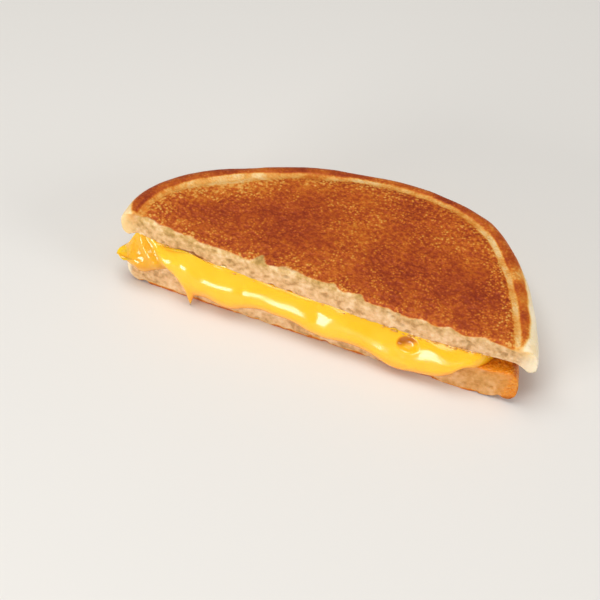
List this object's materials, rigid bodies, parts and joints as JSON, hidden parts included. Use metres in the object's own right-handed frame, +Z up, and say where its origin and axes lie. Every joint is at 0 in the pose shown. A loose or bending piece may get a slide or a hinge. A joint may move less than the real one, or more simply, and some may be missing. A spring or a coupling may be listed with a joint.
{
  "type": "grilled cheese sandwich half",
  "caption": "Half of a pan-browned cheese toastie cut along its long axis, with thick melted cheese bulging out of the cut between two slices of bread.",
  "frame": {"origin": "middle of the sandwich's box at the height of the surface it lies on", "axes": "+X along the cut, +Y from the cut towards the back crust, +Z up through the upper slice"},
  "size_m": [0.1504, 0.0668, 0.0304],
  "materials": {
    "browned_bread": "stands for butter-browned bread: satin, finely speckled golden to red-brown",
    "melted_cheese": "stands for melted cheese: glossy, smooth and slightly translucent",
    "bread_crumb": "stands for white bread crumb with a browned crust: matt and finely pored"
  },
  "bodies": {
    "root": {"bread_top": "browned_bread", "cheese": "melted_cheese", "bread_bottom": "bread_crumb"}
  },
  "joints": []
}
